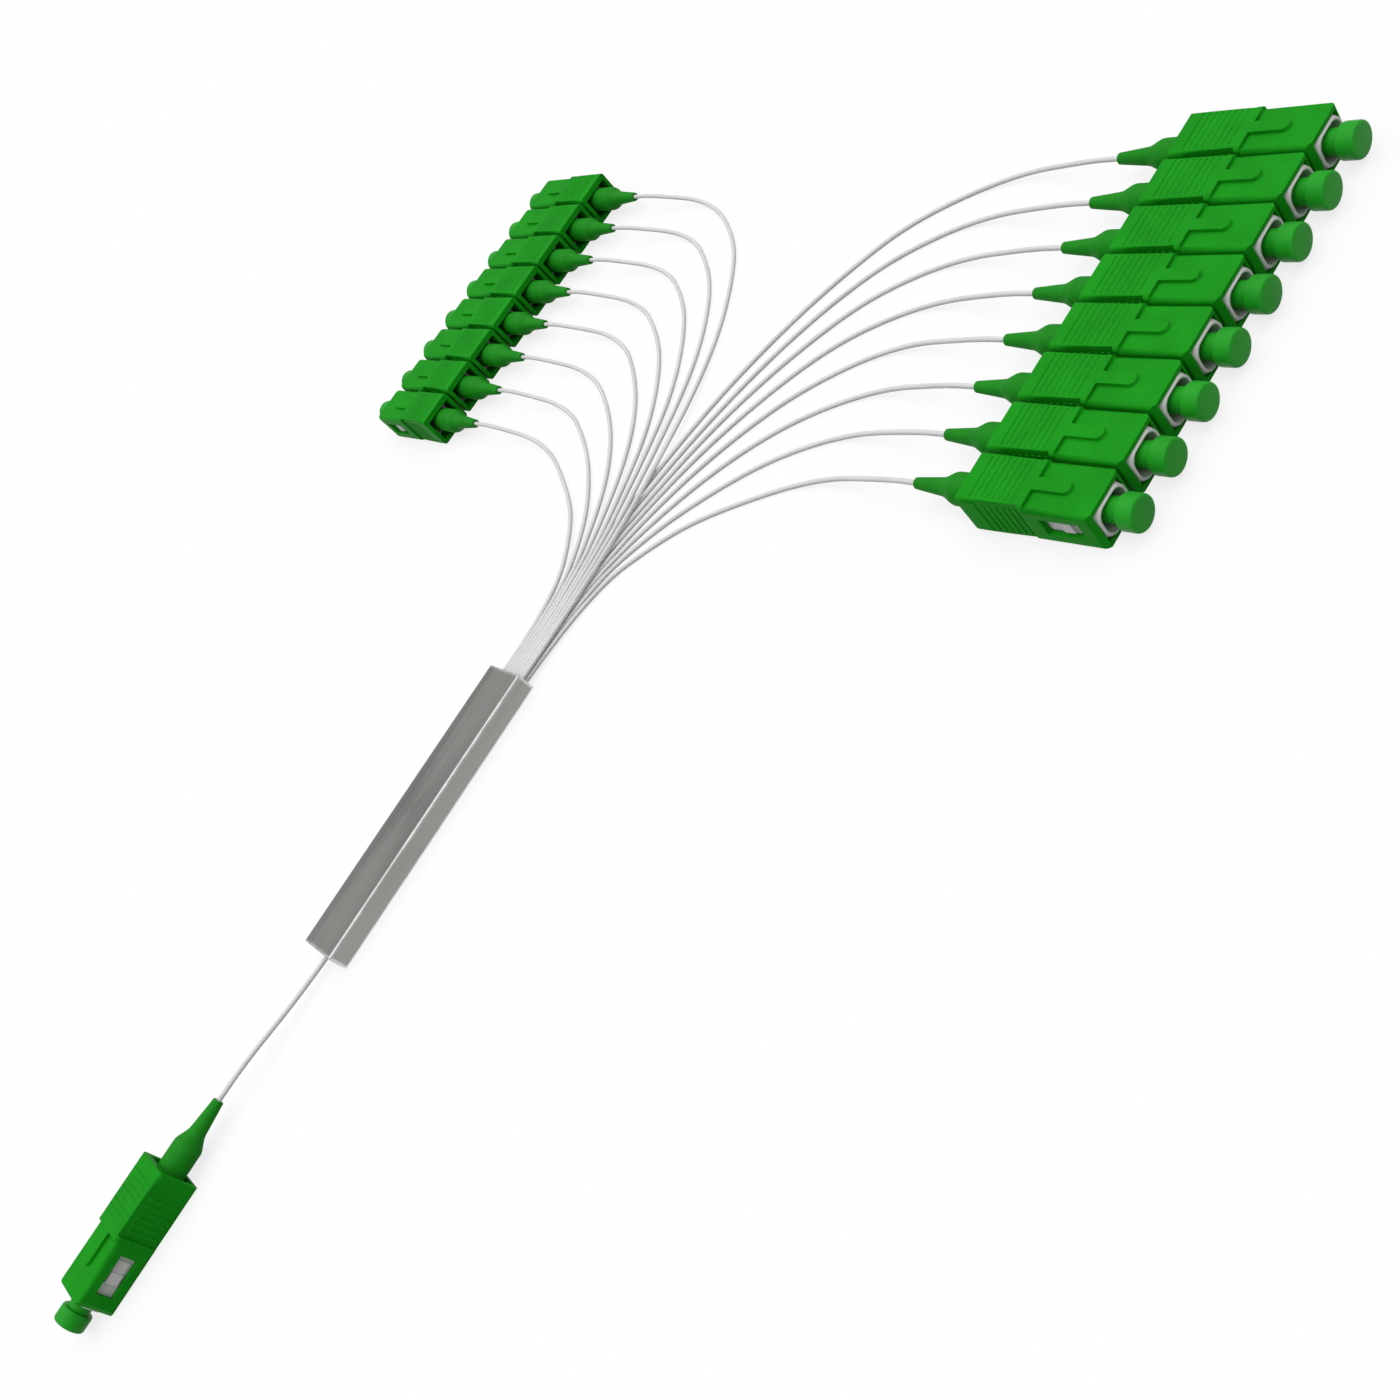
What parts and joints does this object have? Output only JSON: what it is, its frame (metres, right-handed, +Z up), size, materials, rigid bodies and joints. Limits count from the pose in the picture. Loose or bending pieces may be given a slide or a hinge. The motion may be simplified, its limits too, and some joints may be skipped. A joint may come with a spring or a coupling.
{
  "type": "plc fibre splitter",
  "caption": "Flat steel tube splitter for optical fibre, with an input fibre at its back and output fibres that fan out to facing rows of green push-pull connectors under dust caps.",
  "frame": {"origin": "middle of the steel tube's underside, on the table it lies on", "axes": "+X along the tube towards its outputs, +Y towards the left row of connectors, +Z up"},
  "size_m": [0.2568, 0.225, 0.0079],
  "materials": {
    "steel": "brushed",
    "epoxy": "satin",
    "glass": "polished",
    "green_boot": "satin",
    "inner_plastic": "satin",
    "spring_steel": "drawn",
    "ceramic": "polished",
    "white_plastic": "satin",
    "fibre_buffer": "satin",
    "green_plastic": "moulded",
    "green_cap": "moulded"
  },
  "bodies": {
    "splitter": {"steel_tube": "steel", "end_seals": "epoxy", "splitter_chip": "glass", "fibre_arrays": "glass", "boots": "green_boot", "stop_bodies": "inner_plastic", "springs": "spring_steel", "ferrules": "ceramic", "plug_frames": "white_plastic", "input_fibre": "fibre_buffer", "left_fibre_1": "fibre_buffer", "left_fibre_2": "fibre_buffer", "left_fibre_3": "fibre_buffer", "left_fibre_4": "fibre_buffer", "left_fibre_5": "fibre_buffer", "left_fibre_6": "fibre_buffer", "left_fibre_7": "fibre_buffer", "left_fibre_8": "fibre_buffer", "right_fibre_1": "fibre_buffer", "right_fibre_2": "fibre_buffer", "right_fibre_3": "fibre_buffer", "right_fibre_4": "fibre_buffer", "right_fibre_5": "fibre_buffer", "right_fibre_6": "fibre_buffer", "right_fibre_7": "fibre_buffer", "right_fibre_8": "fibre_buffer"},
    "input_grip": {"input_grip": "green_plastic"},
    "input_cap": {"input_cap": "green_cap"},
    "left_grip_1": {"left_grip_1": "green_plastic"},
    "left_cap_1": {"left_cap_1": "green_cap"},
    "left_grip_2": {"left_grip_2": "green_plastic"},
    "left_cap_2": {"left_cap_2": "green_cap"},
    "left_grip_3": {"left_grip_3": "green_plastic"},
    "left_cap_3": {"left_cap_3": "green_cap"},
    "left_grip_4": {"left_grip_4": "green_plastic"},
    "left_cap_4": {"left_cap_4": "green_cap"},
    "left_grip_5": {"left_grip_5": "green_plastic"},
    "left_cap_5": {"left_cap_5": "green_cap"},
    "left_grip_6": {"left_grip_6": "green_plastic"},
    "left_cap_6": {"left_cap_6": "green_cap"},
    "left_grip_7": {"left_grip_7": "green_plastic"},
    "left_cap_7": {"left_cap_7": "green_cap"},
    "left_grip_8": {"left_grip_8": "green_plastic"},
    "left_cap_8": {"left_cap_8": "green_cap"},
    "right_grip_1": {"right_grip_1": "green_plastic"},
    "right_cap_1": {"right_cap_1": "green_cap"},
    "right_grip_2": {"right_grip_2": "green_plastic"},
    "right_cap_2": {"right_cap_2": "green_cap"},
    "right_grip_3": {"right_grip_3": "green_plastic"},
    "right_cap_3": {"right_cap_3": "green_cap"},
    "right_grip_4": {"right_grip_4": "green_plastic"},
    "right_cap_4": {"right_cap_4": "green_cap"},
    "right_grip_5": {"right_grip_5": "green_plastic"},
    "right_cap_5": {"right_cap_5": "green_cap"},
    "right_grip_6": {"right_grip_6": "green_plastic"},
    "right_cap_6": {"right_cap_6": "green_cap"},
    "right_grip_7": {"right_grip_7": "green_plastic"},
    "right_cap_7": {"right_cap_7": "green_cap"},
    "right_grip_8": {"right_grip_8": "green_plastic"},
    "right_cap_8": {"right_cap_8": "green_cap"}
  },
  "joints": [
    {"name": "input_grip_slide", "type": "slide", "parent": "splitter", "child": "input_grip", "axis": [1, 0, 0], "range_m": [0, 0.0018]},
    {"name": "input_cap_pull", "type": "slide", "parent": "splitter", "child": "input_cap", "axis": [-1, 0, 0], "range_m": [0, 0.015]},
    {"name": "left_grip_1_slide", "type": "slide", "parent": "splitter", "child": "left_grip_1", "axis": [0, -1, 0], "range_m": [0, 0.0018]},
    {"name": "left_cap_1_pull", "type": "slide", "parent": "splitter", "child": "left_cap_1", "axis": [0, 1, 0], "range_m": [0, 0.015]},
    {"name": "left_grip_2_slide", "type": "slide", "parent": "splitter", "child": "left_grip_2", "axis": [0, -1, 0], "range_m": [0, 0.0018]},
    {"name": "left_cap_2_pull", "type": "slide", "parent": "splitter", "child": "left_cap_2", "axis": [0, 1, 0], "range_m": [0, 0.015]},
    {"name": "left_grip_3_slide", "type": "slide", "parent": "splitter", "child": "left_grip_3", "axis": [0, -1, 0], "range_m": [0, 0.0018]},
    {"name": "left_cap_3_pull", "type": "slide", "parent": "splitter", "child": "left_cap_3", "axis": [0, 1, 0], "range_m": [0, 0.015]},
    {"name": "left_grip_4_slide", "type": "slide", "parent": "splitter", "child": "left_grip_4", "axis": [0, -1, 0], "range_m": [0, 0.0018]},
    {"name": "left_cap_4_pull", "type": "slide", "parent": "splitter", "child": "left_cap_4", "axis": [0, 1, 0], "range_m": [0, 0.015]},
    {"name": "left_grip_5_slide", "type": "slide", "parent": "splitter", "child": "left_grip_5", "axis": [0, -1, 0], "range_m": [0, 0.0018]},
    {"name": "left_cap_5_pull", "type": "slide", "parent": "splitter", "child": "left_cap_5", "axis": [0, 1, 0], "range_m": [0, 0.015]},
    {"name": "left_grip_6_slide", "type": "slide", "parent": "splitter", "child": "left_grip_6", "axis": [0, -1, 0], "range_m": [0, 0.0018]},
    {"name": "left_cap_6_pull", "type": "slide", "parent": "splitter", "child": "left_cap_6", "axis": [0, 1, 0], "range_m": [0, 0.015]},
    {"name": "left_grip_7_slide", "type": "slide", "parent": "splitter", "child": "left_grip_7", "axis": [0, -1, 0], "range_m": [0, 0.0018]},
    {"name": "left_cap_7_pull", "type": "slide", "parent": "splitter", "child": "left_cap_7", "axis": [0, 1, 0], "range_m": [0, 0.015]},
    {"name": "left_grip_8_slide", "type": "slide", "parent": "splitter", "child": "left_grip_8", "axis": [0, -1, 0], "range_m": [0, 0.0018]},
    {"name": "left_cap_8_pull", "type": "slide", "parent": "splitter", "child": "left_cap_8", "axis": [0, 1, 0], "range_m": [0, 0.015]},
    {"name": "right_grip_1_slide", "type": "slide", "parent": "splitter", "child": "right_grip_1", "axis": [0, 1, 0], "range_m": [0, 0.0018]},
    {"name": "right_cap_1_pull", "type": "slide", "parent": "splitter", "child": "right_cap_1", "axis": [0, -1, 0], "range_m": [0, 0.015]},
    {"name": "right_grip_2_slide", "type": "slide", "parent": "splitter", "child": "right_grip_2", "axis": [0, 1, 0], "range_m": [0, 0.0018]},
    {"name": "right_cap_2_pull", "type": "slide", "parent": "splitter", "child": "right_cap_2", "axis": [0, -1, 0], "range_m": [0, 0.015]},
    {"name": "right_grip_3_slide", "type": "slide", "parent": "splitter", "child": "right_grip_3", "axis": [0, 1, 0], "range_m": [0, 0.0018]},
    {"name": "right_cap_3_pull", "type": "slide", "parent": "splitter", "child": "right_cap_3", "axis": [0, -1, 0], "range_m": [0, 0.015]},
    {"name": "right_grip_4_slide", "type": "slide", "parent": "splitter", "child": "right_grip_4", "axis": [0, 1, 0], "range_m": [0, 0.0018]},
    {"name": "right_cap_4_pull", "type": "slide", "parent": "splitter", "child": "right_cap_4", "axis": [0, -1, 0], "range_m": [0, 0.015]},
    {"name": "right_grip_5_slide", "type": "slide", "parent": "splitter", "child": "right_grip_5", "axis": [0, 1, 0], "range_m": [0, 0.0018]},
    {"name": "right_cap_5_pull", "type": "slide", "parent": "splitter", "child": "right_cap_5", "axis": [0, -1, 0], "range_m": [0, 0.015]},
    {"name": "right_grip_6_slide", "type": "slide", "parent": "splitter", "child": "right_grip_6", "axis": [0, 1, 0], "range_m": [0, 0.0018]},
    {"name": "right_cap_6_pull", "type": "slide", "parent": "splitter", "child": "right_cap_6", "axis": [0, -1, 0], "range_m": [0, 0.015]},
    {"name": "right_grip_7_slide", "type": "slide", "parent": "splitter", "child": "right_grip_7", "axis": [0, 1, 0], "range_m": [0, 0.0018]},
    {"name": "right_cap_7_pull", "type": "slide", "parent": "splitter", "child": "right_cap_7", "axis": [0, -1, 0], "range_m": [0, 0.015]},
    {"name": "right_grip_8_slide", "type": "slide", "parent": "splitter", "child": "right_grip_8", "axis": [0, 1, 0], "range_m": [0, 0.0018]},
    {"name": "right_cap_8_pull", "type": "slide", "parent": "splitter", "child": "right_cap_8", "axis": [0, -1, 0], "range_m": [0, 0.015]}
  ]
}
